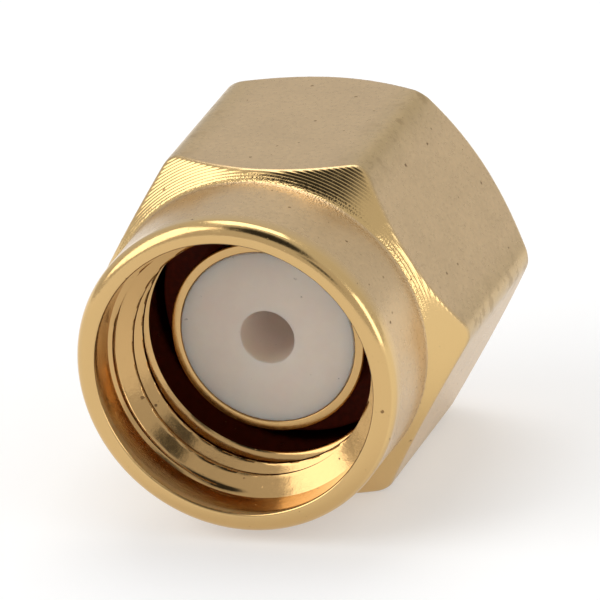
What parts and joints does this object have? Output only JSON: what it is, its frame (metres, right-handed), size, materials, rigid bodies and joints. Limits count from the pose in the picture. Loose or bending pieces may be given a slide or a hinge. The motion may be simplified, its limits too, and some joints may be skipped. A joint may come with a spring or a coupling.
{
  "type": "coaxial connector plug",
  "caption": "Gold-plated coaxial plug with a free-spinning hexagon coupling nut, a threaded collar and a white insulator, for semi-rigid cable.",
  "frame": {"origin": "on the plug's axis, in the mating plane at the outer conductor's front face", "axes": "+Y along the axis from the mouth towards the cable; +Z out of the hexagon's upper flat, and the plug lies on its lower flat; +X through a corner of the hexagon"},
  "size_m": [0.009, 0.009, 0.008],
  "materials": {
    "nut_gold": "worn satin gold plating",
    "ring_bronze": "bright bronze spring",
    "gasket_rubber": "dark red silicone",
    "body_gold": "polished gold plating",
    "insulator_ptfe": "translucent white"
  },
  "bodies": {
    "plug": {"plug_body": "body_gold", "insulator": "insulator_ptfe", "sealing_gasket": "gasket_rubber", "retaining_ring": "ring_bronze"},
    "nut": {"coupling_nut": "nut_gold"}
  },
  "joints": [
    {"name": "nut_spin", "type": "hinge", "parent": "plug", "child": "nut", "pos_m": [0, 0.003, 0], "axis": [0, 1, 0], "continuous": true}
  ]
}
